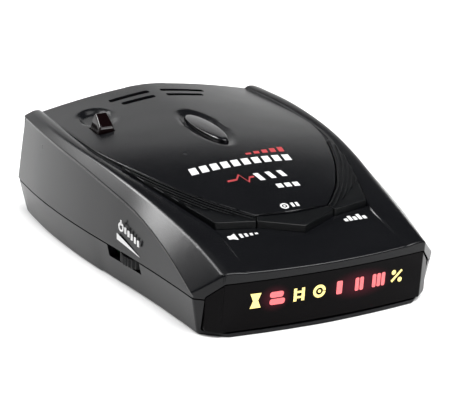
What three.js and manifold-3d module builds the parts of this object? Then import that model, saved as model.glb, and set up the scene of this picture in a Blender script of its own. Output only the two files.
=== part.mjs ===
// Windshield radar and laser detector, millimetres.
// +X right as the driver sees it, -Y display end (towards the driver), +Y antenna end
// (towards the road), +Z up.  The origin lies under the middle of the case, on its flat base.
import * as THREE from 'three';
import { mergeVertices } from 'three/addons/utils/BufferGeometryUtils.js';
import Module from 'manifold-3d';

const wasm = await Module();
wasm.setup();

// ---------------------------------------------------------------- solids and helpers

// Manifold solid from a three.js geometry.
function solid(geometry) {
  const g = geometry.clone();
  g.deleteAttribute('normal');
  g.deleteAttribute('uv');
  const merged = mergeVertices(g, 1e-4);
  return new wasm.Manifold(new wasm.Mesh({
    numProp: 3,
    vertProperties: new Float32Array(merged.attributes.position.array),
    triVerts: new Uint32Array(merged.index.array),
  }));
}

// three.js geometry from a manifold solid.
function geometryOf(manifold) {
  const mesh = manifold.getMesh();
  const g = new THREE.BufferGeometry();
  g.setAttribute('position', new THREE.BufferAttribute(new Float32Array(mesh.vertProperties), 3));
  g.setIndex(new THREE.BufferAttribute(new Uint32Array(mesh.triVerts), 1));
  g.computeVertexNormals();
  return g;
}

const union = (...solids) => solids.reduce((a, b) => a.add(b));
const cut = (body, ...tools) => tools.reduce((a, b) => a.subtract(b), body);

// Block given by its extent on each axis.
function block([x0, x1], [y0, y1], [z0, z1]) {
  const g = new THREE.BoxGeometry(x1 - x0, y1 - y0, z1 - z0);
  g.translate((x0 + x1) / 2, (y0 + y1) / 2, (z0 + z1) / 2);
  return solid(g);
}

// Upright round bar on the axis (x, y), from z0 to z1.
function rod(radius, x, y, z0, z1, sides = 24) {
  const g = new THREE.CylinderGeometry(radius, radius, z1 - z0, sides);
  g.rotateX(Math.PI / 2);
  g.translate(x, y, (z0 + z1) / 2);
  return solid(g);
}

// Plan outline (list of [x, y]) raised from z0 to z1.
function prism(outline, z0, z1) {
  const shape = new THREE.Shape(outline.map(([x, y]) => new THREE.Vector2(x, y)));
  const g = new THREE.ExtrudeGeometry(shape, { depth: z1 - z0, bevelEnabled: false });
  g.translate(0, 0, z0);
  return solid(g);
}

// Outline across one horizontal axis pushed through along that axis.
function prismAlongY(outline, y0, y1) {           // outline of [x, z]
  return prism(outline, -y1, -y0).rotate([90, 0, 0]);
}
function prismAlongX(outline, x0, x1) {           // outline of [y, z]
  return prism(outline, x0, x1).rotate([90, 0, 0]).rotate([0, 0, 90]);
}

// Round bar along X or along Y.
const alongX = (radius, x0, x1, y, z, sides = 28) => rod(radius, 0, 0, x0, x1, sides)
  .rotate([0, 90, 0]).translate([0, y, z]);
const alongY = (radius, y0, y1, x, z, sides = 28) => rod(radius, 0, 0, y0, y1, sides)
  .rotate([-90, 0, 0]).translate([x, 0, z]);

// Turned body about an upright axis through (x, y), from a [radius, z] profile.
function turned(profile, x, y, sides = 36) {
  const g = new THREE.LatheGeometry(profile.map(([r, z]) => new THREE.Vector2(r, z)), sides);
  g.rotateX(Math.PI / 2);
  g.translate(x, y, 0);
  const body = solid(g);
  if (body.volume() > 0) return body;
  g.index.array.reverse();
  return solid(g);
}

// Closed skin through rings of 3-D points with equal counts; each ring lies in a plane of
// constant y or constant z.
function skin(rings) {
  const count = rings[0].length;
  const index = [];
  for (let r = 0; r + 1 < rings.length; r += 1) {
    for (let i = 0; i < count; i += 1) {
      const j = (i + 1) % count;
      const [a, b, c, d] = [r * count + i, r * count + j, (r + 1) * count + j, (r + 1) * count + i];
      index.push(a, b, c, a, c, d);
    }
  }
  const across = rings[0].every((p) => p[1] === rings[0][0][1]) ? 2 : 1;
  const outline = rings[0].map((p) => new THREE.Vector2(p[0], p[across]));
  const clockwise = THREE.ShapeUtils.isClockWise(outline);
  for (const tri of THREE.ShapeUtils.triangulateShape(outline.slice(), [])) {
    const [a, b, c] = clockwise ? [...tri].reverse() : tri;
    const last = (rings.length - 1) * count;
    index.push(a, c, b, a + last, b + last, c + last);
  }
  const g = new THREE.BufferGeometry();
  g.setAttribute('position', new THREE.Float32BufferAttribute(rings.flat(2), 3));
  g.setIndex(index);
  const body = solid(g);
  if (body.volume() > 0) return body;
  g.setIndex(index.reverse());
  return solid(g);
}

// Smooth curve through [position, value] stations, straight beyond the ends.
function curveThrough(stations) {
  const slope = (i) => {
    const a = stations[Math.max(i - 1, 0)];
    const b = stations[Math.min(i + 1, stations.length - 1)];
    return (b[1] - a[1]) / (b[0] - a[0]);
  };
  return (at) => {
    let i = 0;
    while (i < stations.length - 2 && at > stations[i + 1][0]) i += 1;
    const [[p0, v0], [p1, v1]] = [stations[i], stations[i + 1]];
    const h = p1 - p0;
    const t = (at - p0) / h;
    if (t < 0) return v0 + slope(i) * h * t;
    if (t > 1) return v1 + slope(i + 1) * h * (t - 1);
    const [t2, t3] = [t * t, t * t * t];
    return v0 * (2 * t3 - 3 * t2 + 1) + v1 * (3 * t2 - 2 * t3)
      + h * (slope(i) * (t3 - 2 * t2 + t) + slope(i + 1) * (t3 - t2));
  };
}

const range = (from, to, steps) => Array.from({ length: steps + 1 },
  (_, i) => from + (to - from) * i / steps);

// Right-hand half of a plan or section, completed with its mirror image.
const mirrored = (half) => [...half, ...half.slice().reverse().map(([x, v]) => [-x, v])]
  .filter(([x, v], i, all) => {
    const [xb, vb] = all.at(i - 1);
    return Math.hypot(x - xb, v - vb) > 1e-6;
  });

const ellipse = (cx, cy, rx, ry, sides = 32) => range(0, 2 * Math.PI, sides).slice(0, -1)
  .map((a) => [cx + rx * Math.cos(a), cy + ry * Math.sin(a)]);

const group = new THREE.Group();
group.name = 'radar_detector';

const FINISH = {
  case: { color: 0x202124, roughness: 0.55, metalness: 0 },
  gloss: { color: 0x08080a, roughness: 0.12, metalness: 0 },
  key: { color: 0x26272a, roughness: 0.5, metalness: 0 },
  board: { color: 0x1d5a34, roughness: 0.6, metalness: 0 },
  metal: { color: 0xb9bcc0, roughness: 0.35, metalness: 1 },
  casting: { color: 0x9a9da1, roughness: 0.5, metalness: 1 },
  dark: { color: 0x17171a, roughness: 0.6, metalness: 0 },
  cone: { color: 0x2b2a28, roughness: 0.85, metalness: 0 },
  red: { color: 0xd3201a, roughness: 0.3, metalness: 0 },
  amber: { color: 0xe9a11c, roughness: 0.3, metalness: 0 },
  smoke: { color: 0x1c0f12, roughness: 0.1, metalness: 0 },
};

function part(name, body, finish) {
  const mesh = new THREE.Mesh(geometryOf(body), new THREE.MeshStandardMaterial(FINISH[finish]));
  mesh.name = name;
  group.add(mesh);
}

// ---------------------------------------------------------------- driving dimensions

const GAP = 0.3;                   // clearance between neighbouring pieces
const WALL = 1.8;                  // wall of both case halves
const PARTING = 9.3;               // height of the line between the case halves
const SEAM = 0.3;                  // open seam on that line
const FRONT_LEAN = 0.1;            // display end leans forward, mm per mm of height
const REAR_LEAN = 0.25;            // antenna end leans in, mm per mm of height

// Plan of the case at the parting line.
const FRONT_MIDDLE = -54.4;        // bowed display end, on the centre line
const FRONT_CORNER = [25.9, -52.6];
const CHEEK_CORNER = [31.2, -48.0];
const REAR_CORNER = [35.2, 52.8];
const REAR_APEX = 55;

// Half width at the parting line, and how far the lower case has drawn in at the base.
const sideX = curveThrough([[-60, 31], [-48, 31.1], [-33, 32], [-20, 33.2], [-6, 34.9], [8, 36.4],
  [20, 37.2], [32, 37.5], [44, 37.1], [60, 36]]);
const baseInset = 1.5;

// Rounded rail along the top edge: outer edge, height and inner edge.
const railX = curveThrough([[-60, 25.7], [-52, 25.9], [-40, 26.7], [-26, 28.4], [-12, 30.8],
  [2, 32.7], [16, 34], [30, 34.4], [42, 33.6], [54, 32.3]]);
const railZ = curveThrough([[-60, 13.6], [-53, 15.9], [-40, 19.7], [-26, 22.8], [-12, 25.2],
  [2, 26.8], [16, 27.7], [30, 28.3], [44, 28.5], [56, 28.3]]);
const railInnerX = curveThrough([[-60, 19.9], [-46, 19.9], [-37, 20], [-27.5, 22.8],
  [-14, 26.4], [-1, 29.6], [8, 30.8], [26, 31.2], [44, 30.5], [56, 30]]);

// Sloping band below the rail: its lower edge overhangs the side panel a little.
const bandX = curveThrough([[-60, 31], [-48, 31.1], [-33, 31.4], [-19, 32.1], [-5, 33.7],
  [9, 35], [23, 35.7], [37, 35.7], [54, 35]]);
const bandZ = curveThrough([[-60, 4.4], [-48, 9.9], [-36, 15.2], [-26, 18.5], [-16, 20.8],
  [-5, 22.7], [8, 24.5], [22, 25.6], [36, 26.4], [54, 27.1]]);

// The deck between the rails lies a little below them and runs out level at the front edge.
const deckDrop = curveThrough([[-60, 0], [-53.5, 0.08], [-46, 0.5], [-40, 0.75], [60, 0.75]]);

// Crowned centre panel: height on the centre line, fall towards the sides (a soft ridge plus a
// round part), plan outline.
const crownZ = curveThrough([[-46, 18.2], [-37, 21.6], [-26, 24.8], [-14, 27.3], [-2, 28.9],
  [12, 29.9], [26, 30.7], [40, 31.5], [54, 32.3]]);
const crownRidge = curveThrough([[-46, 0], [-10, 0], [20, 0.02], [50, 0.07]]);
const crownRound = curveThrough([[-46, 0.004], [-26, 0.0044], [-14, 0.0036], [0, 0.0028],
  [12, 0.0024], [50, 0.0026]]);
const crownFall = (x, y) => crownRidge(y) * (Math.hypot(x, 3) - 3) + crownRound(y) * x * x;
const crownEdge = [[0, -36.7], [5, -36.5], [9.3, -35.8], [11.2, -34], [13.3, -31.5], [16.1, -28],
  [19.1, -23], [21.8, -18], [24, -13], [25.9, -8], [27.6, -3], [29.1, 2.5], [30.4, 10], [31, 26],
  [30.4, 44], [30, 60]];

// ---------------------------------------------------------------- shapes shared by both halves

// Plan outline of the two ends of the case; the flanks come from the cross-sections.
function endsOutline(inset) {
  const bow = range(0, 1, 5).map((t) => [FRONT_CORNER[0] * t,
    FRONT_MIDDLE + (FRONT_CORNER[1] - FRONT_MIDDLE) * t * t + inset]);
  const cheek = [38, CHEEK_CORNER[1] + (38 - CHEEK_CORNER[0]) * 0.87 + inset];
  return mirrored([...bow, cheek, [38, REAR_CORNER[1] - 2.8 - inset],
    [REAR_CORNER[0] - inset * 0.4, REAR_CORNER[1] - inset], [0, REAR_APEX - inset]]);
}

// Plan outline raised from z0 to z1 with the lean of the ends.
function leaning(outline, z0, z1) {
  const at = (z) => outline.map(([x, y]) => [x,
    y - (z - PARTING) * (y < 0 ? FRONT_LEAN : REAR_LEAN), z]);
  return skin([at(z0), at(z1)]);
}

// Cross-section of the upper case at y, shrunk by the given wall thickness.
function upperSection(y, wall) {
  const [rx, rz, inner] = [railX(y), railZ(y), railInnerX(y)];
  const [bx, bz, px] = [bandX(y), bandZ(y), sideX(y)];
  const lip = wall ? 0 : 0.45;               // overhang of the band over the side panel
  const half = [
    [0, rz - deckDrop(y) - wall], [inner - wall, rz - deckDrop(y) - wall],
    [inner + 0.5 - wall, rz - 0.2 - wall], [(inner + rx) / 2 - wall * 0.8, rz + 0.05 - wall],
    [rx - 0.8 - wall * 0.8, rz - 0.02 - wall], [rx - wall * 0.8, rz - 0.45 - wall * 0.8],
    [bx + lip - wall, bz + 0.5 - wall * 0.4], [bx + lip - wall, bz - wall * 0.4],
    [bx - 0.1 - wall, bz - 0.25 - wall * 0.4],
    [px - wall, Math.min(PARTING, bz - 1 - wall)], [px - wall, -3],
  ];
  return mirrored(half).map(([x, z]) => [x, y, z]);
}

const upperBlank = (wall) => skin([-60, ...range(-55, 55, 22), 60]
  .map((y) => upperSection(y, wall)));

// Plan outline of the lower case, drawn in by the given amount on all sides.
const lowerPlan = (inset) => [
  ...range(-48, 50, 14).map((y) => [sideX(y) - inset, y + (y < -40 ? inset : 0)]),
  [sideX(51.5) - 1 - inset, 51.8 - inset], [REAR_CORNER[0] - 1 - inset, REAR_CORNER[1] - inset],
  [0, REAR_APEX - inset],
];
function lowerBlank(inset, rings) {
  const bow = range(0, 1, 5).map((t) => [FRONT_CORNER[0] * t,
    FRONT_MIDDLE + (FRONT_CORNER[1] - FRONT_MIDDLE) * t * t]);
  return skin(rings.map(([z, draft]) => mirrored([
    ...bow.map(([x, y]) => [x, y + inset]), ...lowerPlan(inset)])
    .map(([x, y]) => [x - Math.sign(x) * draft, y < 0 ? y - (z - PARTING) * FRONT_LEAN
      : y - draft, z])));
}

// Slab that follows the crown of the centre panel, between two depths below it.
function crownSlab(top, bottom) {
  const section = (y) => {
    const line = (depth) => range(34, -34, 12)
      .map((x) => [x, y, crownZ(y) - crownFall(x, y) - depth]);
    return [...line(top), ...line(bottom).reverse()];
  };
  return skin(range(-58, 58, 16).map(section));
}

// Slab whose top follows the rail height plus a lift that depends on y.
function railSlab(lift, depth) {
  const section = (y) => {
    const top = railZ(y) + lift(y);
    return [[40, y, top], [-40, y, top], [-40, y, top - depth], [40, y, top - depth]];
  };
  return skin(range(-60, 8, 17).map(section));
}

const aboveSeam = block([-50, 50], [-70, 70], [PARTING, 60]);
const belowSeam = block([-50, 50], [-70, 70], [-5, PARTING - SEAM]);

// ---------------------------------------------------------------- keys

// Half outline of the centre panel between two positions, pushed outwards by the offset.
const crownRun = (y0, y1, offset) => crownEdge.filter(([, y]) => y >= y0 && y <= y1)
  .map(([x, y], i, all) => {
    const [a, b] = [all[Math.max(i - 1, 0)], all[Math.min(i + 1, all.length - 1)]];
    const length = Math.hypot(b[0] - a[0], b[1] - a[1]);
    return [Math.max(0, x + (b[1] - a[1]) / length * offset), y - (b[0] - a[0]) / length * offset];
  });

// Long side key: a flat finger pad in front and a ribbed tail beside the centre panel.
const keyLift = curveThrough([[-60, 0.9], [-38, 0.85], [-27, 0.6], [-2, 0.1], [10, 0.1]]);
const padOutline = [[10.4, -38], [19.9, -36.2], [22.9, -27.2]];
const tailOuter = [[25.1, -20], [26.9, -13.5], [28, -7.5], [28.6, -2.8]];
const sideKeyOutline = (grow) => [
  [10.4 - grow, -38 - grow], [19.9 + grow * 0.6, -36.2 - grow], [22.9 + grow, -27.2],
  ...tailOuter.map(([x, y], i) => [x + grow, y + (i === 3 ? grow * 2 : 0)]),
  ...crownRun(-36, -3, GAP - grow).reverse(),
];
const middleKeyOutline = (grow) => mirrored([
  [0, -42.5 - grow * 1.2], [10.1 + (grow ? grow - 0.3 : 0), -38 - grow * 0.5],
  ...crownRun(-37, -35.5, GAP - grow).slice(-1), [0, crownEdge[0][1] - GAP + grow]]);

// Ridges along the tail, parallel to the centre panel; they end on the slanting rear edge of the
// smooth pad.
const RIB = { count: 5, pitch: 1.05, width: 0.45, height: 0.3 };
const ribbedZone = [padOutline[0], padOutline[2], [40, padOutline[2][1]], [40, 0], [0, 0],
  [0, padOutline[0][1]]];

function sideKey(side) {
  const outline = sideKeyOutline(0);
  let body = prism(outline, 0, 60).intersect(railSlab(keyLift, 2.4));
  const tail = prism(outline, 0, 60).intersect(prism(ribbedZone, 0, 60));
  for (let i = 0; i < RIB.count; i += 1) {
    const from = GAP + 0.3 + i * RIB.pitch;
    const band = [...crownRun(-36, -3, from), ...crownRun(-36, -3, from + RIB.width).reverse()];
    body = body.add(prism(band, 0, 60).intersect(tail)
      .intersect(railSlab((y) => keyLift(y) + RIB.height, 1)));
  }
  body = body.add(rod(1.6, SIDE_SWITCH[0], SIDE_SWITCH[1], KEY_STEM_END, 20, 12));
  return side < 0 ? body.mirror([1, 0, 0]) : body;
}

// ---------------------------------------------------------------- positions of the inner parts

const FLOOR = 1.8;
const BOARD = [3.4, 5];                    // underside and top of the main board
const SIDE_SWITCH = [17.5, -33];
const MIDDLE_SWITCH = [0, -39];
const SWITCH_TOP = 9.3;                    // top of the switch plungers
const KEY_STEM_END = SWITCH_TOP + 0.6;
const FRONT_SCREW = [25.5, -39];
const REAR_SCREW = [29.5, 40];
const WHEEL = { x: -26.5, y: -15.5, radius: 7.6, z: [6.5, 8.8] };
const WHEEL_SLOT = [[-40, -30], [-22.6, -7.4], [6.1, 20]];
const JACK = { y: -2, z: 9.6, nose: 3.3, bore: 2.75 };
const HORN = { halfWidth: 17, y: [4, 50.4], z: [5, 14.4] };
const BUTTON = { y: 10.2, rx: 2.7, ry: 11.4 };
const SLOT = { halfWidth: 11, y: [28.5, 60], z: [19.6, 24] };      // windshield bracket
const SPEAKER = { x: 0, y: 37, radius: 10.4, z: [25.6, 28.7] };
// Wedge-shaped laser lens that looks back at the driver's side, and the dish behind it.
const REAR_LENS = { x: [-25.6, -21.4], y: [19.4, 25.6], top: [[-24.2, 32.45], [-21.1, 32.45]] };
const LENS_DISH = { x: -21.2, y: 32, rx: 4.7, ry: 7.3, depth: 1.1 };
const ROAD_LENS = { x: 23, z: 14.4, radius: 3.6 };
const screws = [FRONT_SCREW, REAR_SCREW].flatMap(([x, y]) => [[-x, y], [x, y]]);

// Display lens: front outline, grown for the opening in the case.
const LENS = { halfWidth: 28.8, flatHalf: 25.6, bottom: 1.2, shoulder: 9.7, top: 13.1 };
const lensFace = (grow) => mirrored([[0, LENS.bottom - grow], [LENS.halfWidth + grow,
  LENS.bottom - grow], [LENS.halfWidth + grow, LENS.shoulder + grow * 0.4],
  [LENS.flatHalf + grow * 0.4, LENS.top + grow], [0, LENS.top + grow]]);
const displayLens = leaning(endsOutline(0.3), -2, 30)
  .subtract(leaning(endsOutline(1.8), -3, 31))
  .intersect(prismAlongY(lensFace(0), -60, -40));
const lensOpening = prismAlongY(lensFace(GAP * 0.8), -60, -46);

// ---------------------------------------------------------------- upper case

const outer = upperBlank(0).intersect(leaning(endsOutline(0), -5, 60));
const inner = upperBlank(WALL).intersect(leaning(endsOutline(WALL), -5, 60));
const crownPlan = (inset) => mirrored(crownRun(-40, 70, -inset));
const crown = crownSlab(0, 6).intersect(prism(crownPlan(0), 0, 60))
  .intersect(leaning(endsOutline(0), -5, 60));
const crownHollow = crownSlab(WALL, 9).intersect(prism(crownPlan(WALL), 0, 60))
  .intersect(leaning(endsOutline(WALL), -5, 60));
const shell = cut(union(outer, crown), inner, crownHollow);
const filled = union(outer, crown);
const insideOf = (body) => body.intersect(filled);

const wellRing = prism(ellipse(0, BUTTON.y, BUTTON.rx + 1.6, BUTTON.ry + 1.6), 24.6, 60);
const speakerRing = rod(SPEAKER.radius + 1.5, SPEAKER.x, SPEAKER.y, 26, 60, 36)
  .subtract(rod(SPEAKER.radius + GAP, SPEAKER.x, SPEAKER.y, 20, 60, 36));
const sleeve = block([-SLOT.halfWidth - 1.2, SLOT.halfWidth + 1.2], [SLOT.y[0] - 1.2, 60],
  [SLOT.z[0] - 1.2, SLOT.z[1] + 1.2]);
const sleeveHangers = [-1, 1].map((s) => block(
  [s * 12.3 - 0.9, s * 12.3 + 0.9], [44, 60], [SLOT.z[0], 60]));
const [[lensX0, lensX1], [lensY0, lensY1]] = [REAR_LENS.x, REAR_LENS.y];
const lensBlockHole = block([lensX0 - GAP, lensX1 + GAP], [lensY0 - GAP, lensY1 + GAP], [20, 60]);
const upperBosses = screws.map(([x, y]) => rod(3.4, x, y, PARTING, 60, 20));

// Speaker slots: two rows of short slanted openings on each side of the centre line.
const GRILLE = { rows: [42.9, 38.6], inner: [2, 2], outer: [13.6, 11.6], slant: 0.14, width: 1.5 };
const grilleSlots = GRILLE.rows.flatMap((y, r) => [-1, 1].map((s) => {
  const [a, b] = [GRILLE.inner[r], GRILLE.outer[r]];
  const [ya, yb] = [y - a * GRILLE.slant, y - b * GRILLE.slant];
  const outline = [[s * a, ya - GRILLE.width / 2], [s * b, yb - GRILLE.width / 2],
    [s * (b + 0.6), yb], [s * b, yb + GRILLE.width / 2], [s * a, ya + GRILLE.width / 2],
    [s * (a - 0.6), ya]];
  return prism(s < 0 ? outline.reverse() : outline, 24, 60)
    .intersect(crownSlab(-2, WALL + 0.5));
}));

const keyOpenings = [
  prism(sideKeyOutline(GAP), 8, 60),
  prism(sideKeyOutline(GAP), 8, 60).mirror([1, 0, 0]),
  prism(middleKeyOutline(GAP), 8, 60),
];
const jackHole = alongX(JACK.nose + GAP, 28, 50, JACK.y, JACK.z);
const buttonRecess = crownSlab(-2, 0.9)
  .intersect(prism(ellipse(0, BUTTON.y + 0.6, BUTTON.rx + 2, BUTTON.ry + 3.4), 0, 60));
const lensDish = crownSlab(-2, LENS_DISH.depth)
  .intersect(prism(ellipse(LENS_DISH.x, LENS_DISH.y, LENS_DISH.rx, LENS_DISH.ry, 28), 0, 60));

let upperCase = union(shell, ...[wellRing, speakerRing, sleeve, ...sleeveHangers, ...upperBosses]
  .map(insideOf));
upperCase = cut(upperCase, ...keyOpenings, ...grilleSlots, buttonRecess, lensDish,
  lensBlockHole, lensOpening, jackHole,
  prism(ellipse(0, BUTTON.y, BUTTON.rx + GAP, BUTTON.ry + GAP), 20, 60),
  block([-SLOT.halfWidth, SLOT.halfWidth], SLOT.y, SLOT.z),
  block([-3.4, 3.4], [31.4, 36.4], [SLOT.z[0] - 3, SLOT.z[0] + 0.5]),
  alongY(ROAD_LENS.radius + GAP, 48, 60, ROAD_LENS.x, ROAD_LENS.z),
  ...screws.map(([x, y]) => rod(1.4, x, y, 5, 16.5, 14))).intersect(aboveSeam);
part('upper_case', upperCase, 'case');

// ---------------------------------------------------------------- lower case

const lowerOuter = lowerBlank(0, [[0, baseInset + 0.6], [0.7, baseInset], [PARTING, 0]]);
const lowerInner = lowerBlank(WALL, [[FLOOR, baseInset], [PARTING + 1, 0]]);
let lowerCase = union(cut(lowerOuter, lowerInner),
  ...screws.map(([x, y]) => rod(3.6, x, y, 1, PARTING, 20)),
  ...[[-17, -20], [17, -20], [-20, 22], [20, 22]].map(([x, y]) => rod(2, x, y, 1, BOARD[0], 12)));
lowerCase = cut(lowerCase, lensOpening, jackHole, block(...WHEEL_SLOT),
  block([-20, 20], [-20, 10], [-1, 0.3]),
  ...screws.flatMap(([x, y]) => [rod(1.4, x, y, -1, 12, 14), rod(2.9, x, y, -1, 2.4, 20)]))
  .intersect(belowSeam);
part('lower_case', lowerCase, 'case');

screws.forEach(([x, y], i) => {
  const head = rod(2.5, x, y, 0.5, 2.1, 20);
  const shank = rod(1.1, x, y, 2, 15.4, 12);
  const cross = [0, 90].map((a) => block([-1.5, 1.5], [-0.3, 0.3], [0, 1.2])
    .rotate([0, 0, a]).translate([x, y, 0]));
  part(`case_screw_${i + 1}`, cut(head.add(shank), ...cross), 'metal');
});

// ---------------------------------------------------------------- display

part('display_lens', displayLens, 'gloss');
const ICONS = { count: 8, pitch: 5.2, z: 8.2, width: 3.6, height: 3.8 };
const iconX = range(-(ICONS.count - 1) / 2, (ICONS.count - 1) / 2, ICONS.count - 1)
  .map((k) => k * ICONS.pitch);
const iconBox = (x, grow, y) => block([x - ICONS.width / 2 - grow, x + ICONS.width / 2 + grow],
  y, [ICONS.z - ICONS.height / 2 - grow, ICONS.z + ICONS.height / 2 + grow]);
part('light_mask', cut(block([-22.4, 22.4], [-50.3, -48.6], [5.2, 11.6]),
  ...iconX.map((x) => iconBox(x, 0, [-52, -47]))), 'dark');
part('display_board', block([-23, 23], [-48.3, -47], [2.4, 13.6]), 'board');
const iconColours = ['amber', 'red', 'amber', 'amber', 'red', 'red', 'red', 'amber'];
iconX.forEach((x, i) => part(`display_led_${i + 1}`, iconBox(x, -0.5, [-49.6, -48.3]),
  iconColours[i]));

// ---------------------------------------------------------------- keys and their switches

part('left_key', sideKey(-1), 'key');
part('right_key', sideKey(1), 'key');
part('middle_key', prism(middleKeyOutline(0), 0, 60).intersect(railSlab(keyLift, 2.4))
  .add(rod(1.6, ...MIDDLE_SWITCH, KEY_STEM_END, 19.3, 12)), 'key');
[['left', -SIDE_SWITCH[0], SIDE_SWITCH[1]], ['middle', ...MIDDLE_SWITCH],
  ['right', ...SIDE_SWITCH]].forEach(([side, x, y]) => {
  const body = block([x - 3, x + 3], [y - 3, y + 3], [BOARD[1], SWITCH_TOP - 0.8]);
  part(`${side}_switch`, body.add(rod(1.7, x, y, SWITCH_TOP - 1, SWITCH_TOP, 14)), 'dark');
});

// ---------------------------------------------------------------- volume wheel

const knurl = range(0, 2 * Math.PI, 80).slice(0, -1).map((a, i) => {
  const r = WHEEL.radius - (i % 2 ? 0 : 0.35);
  return [WHEEL.x + r * Math.cos(a), WHEEL.y + r * Math.sin(a)];
});
part('volume_wheel', cut(prism(knurl, ...WHEEL.z), rod(1.8, WHEEL.x, WHEEL.y, 0, 20, 16),
  rod(5.6, WHEEL.x, WHEEL.y, WHEEL.z[1] - 0.7, 20, 28)), 'key');
part('volume_pot', block([WHEEL.x - 3.7, WHEEL.x + 5.3], [WHEEL.y - 4.5, WHEEL.y + 4.5],
  [BOARD[1], WHEEL.z[0] - GAP]).add(rod(1.5, WHEEL.x, WHEEL.y, 5.5, WHEEL.z[1] + 0.4, 14)), 'dark');

// ---------------------------------------------------------------- release button and spring

const cap = new THREE.SphereGeometry(1, 40, 20);
cap.scale(6.4, 24, 3.4);
cap.rotateX(0.035);
cap.translate(0, BUTTON.y, crownZ(BUTTON.y) - 2.9);
const buttonTop = solid(cap).intersect(prism(ellipse(0, BUTTON.y, BUTTON.rx, BUTTON.ry), 26, 60));
const buttonBody = union(buttonTop,
  prism(ellipse(0, BUTTON.y, BUTTON.rx, BUTTON.ry), 23, 27),
  prism(ellipse(0, BUTTON.y, BUTTON.rx + 1.2, BUTTON.ry + 1.2), 23, 24.2),
  block([-3.5, 3.5], [BUTTON.y - 3.7, BUTTON.y + 3.3], [16.6, 23.5]),
  block([-3, 3], [BUTTON.y + 2.2, 36], [16.6, 18]),
  prismAlongX([[31.8, 17.5], [36, 17.5], [36, 20], [34.6, 21.3], [31.8, 21.3]], -3, 3));
part('release_button', cut(buttonBody, rod(2.5, 0, BUTTON.y, 10, 21.8, 20)), 'gloss');

const spring = { radius: 1.8, wire: 0.25, turns: 5, z: [HORN.z[1] + 0.1, 21.7] };
const helix = new THREE.CatmullRomCurve3(range(0, spring.turns, spring.turns * 10).map((t) => {
  const a = 2 * Math.PI * t;
  const rise = spring.z[1] - spring.z[0] - 2 * spring.wire;
  return new THREE.Vector3(spring.radius * Math.cos(a), BUTTON.y + spring.radius * Math.sin(a),
    spring.z[0] + spring.wire + rise * t / spring.turns);
}));
const wireRound = new THREE.Shape(ellipse(0, 0, spring.wire, spring.wire, 6)
  .map(([x, y]) => new THREE.Vector2(x, y)));
part('release_spring', solid(new THREE.ExtrudeGeometry(wireRound,
  { steps: spring.turns * 14, extrudePath: helix, bevelEnabled: false })), 'metal');

// ---------------------------------------------------------------- main board and what it carries

const boardHalf = [[0, -45.8], [23.5, -45.8], [28, -40], [29, -25], [31, -8], [32.5, 8],
  [33, 24], [32.5, 44], [29, 49.5], [0, 51]];
part('main_board', cut(prism(mirrored(boardHalf), ...BOARD),
  ...screws.map(([x, y]) => rod(4, x, y, 0, 10, 20))), 'board');

const hornBlock = block([-HORN.halfWidth, HORN.halfWidth], HORN.y, HORN.z);
const flare = skin([[22, 4.5, 2], [60, 19.5, 4.9]].map(([y, hx, hz]) => [[hx, y, 9.7 + hz],
  [-hx, y, 9.7 + hz], [-hx, y, 9.7 - hz], [hx, y, 9.7 - hz]]));
part('antenna_horn', cut(hornBlock, flare), 'casting');
part('signal_shield', block([-10, 10], [-14, 3.6], [BOARD[1], 11]), 'metal');
part('processor', block([2, 12], [-30, -20], [BOARD[1], 6.5]), 'dark');
part('supply_capacitor', rod(3.2, 22.5, -13, BOARD[1], 13, 20), 'dark');
part('road_laser_sensor', block([20.4, 25.6], [46, 48.8], [BOARD[1], 17]), 'dark');

const jackBody = block([21, 31.8], [JACK.y - 4.8, JACK.y + 4.8], [BOARD[1], 14])
  .add(alongX(JACK.nose, 31, 35.2, JACK.y, JACK.z));
part('power_jack', jackBody.subtract(alongX(JACK.bore, 26, 50, JACK.y, JACK.z))
  .add(alongX(0.7, 25, 34.4, JACK.y, JACK.z, 12)), 'dark');

// ---------------------------------------------------------------- lenses and speaker

const roadLens = turned([[0, 0], [ROAD_LENS.radius, 0], [ROAD_LENS.radius, 1.7], [2.6, 2.25],
  [1.3, 2.5], [0, 2.6]], 0, 0, 28);
part('road_laser_lens', roadLens.rotate([-90, 0, 0]).translate([ROAD_LENS.x, 49.6, ROAD_LENS.z]),
  'smoke');

const lensSide = prismAlongX([[lensY0, 25], [lensY1, 25], [lensY1, 32], [lensY1 - 0.8, 32.45],
  [lensY0 + 1, 30.4], [lensY0, 29.4]], lensX0 - 1, lensX1 + 1);
const lensFront = prismAlongY([[lensX0, 25], [lensX1, 25], [lensX1, 28.8], REAR_LENS.top[1],
  REAR_LENS.top[0], [lensX0, 28.8]], lensY0 - 1, lensY1 + 1);
part('rear_laser_lens', lensSide.intersect(lensFront), 'smoke');

const { x: sx, y: sy, radius: sr, z: [sz0, sz1] } = SPEAKER;
part('speaker_frame', turned([[0, sz0], [4.6, sz0], [4.6, sz0 + 1.2], [sr, sz1 - 0.7], [sr, sz1],
  [sr - 0.9, sz1], [sr - 0.9, sz1 - 0.4], [4.2, sz0 + 1.9], [0, sz0 + 1.9]], sx, sy), 'metal');
part('speaker_cone', turned([[0, sz0 + 2.3], [4, sz0 + 2.3], [sr - 1.3, sz1 - 0.1],
  [sr - 1.3, sz1 + 0.1], [4.6, sz1 - 0.4], [3, sz1 + 0.1], [0, sz1 + 0.25]], sx, sy), 'cone');

export default group;
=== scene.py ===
"""Windshield radar and laser detector: the looks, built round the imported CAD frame.

Lengths in the geometry sections are millimetres in the part's own frame (+X right, -Y display
end, +Y antenna end, +Z up, origin under the middle of the flat base); build() turns them to metres.
"""

import math

import bmesh
import bpy
from mathutils import Matrix, Vector


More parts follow.
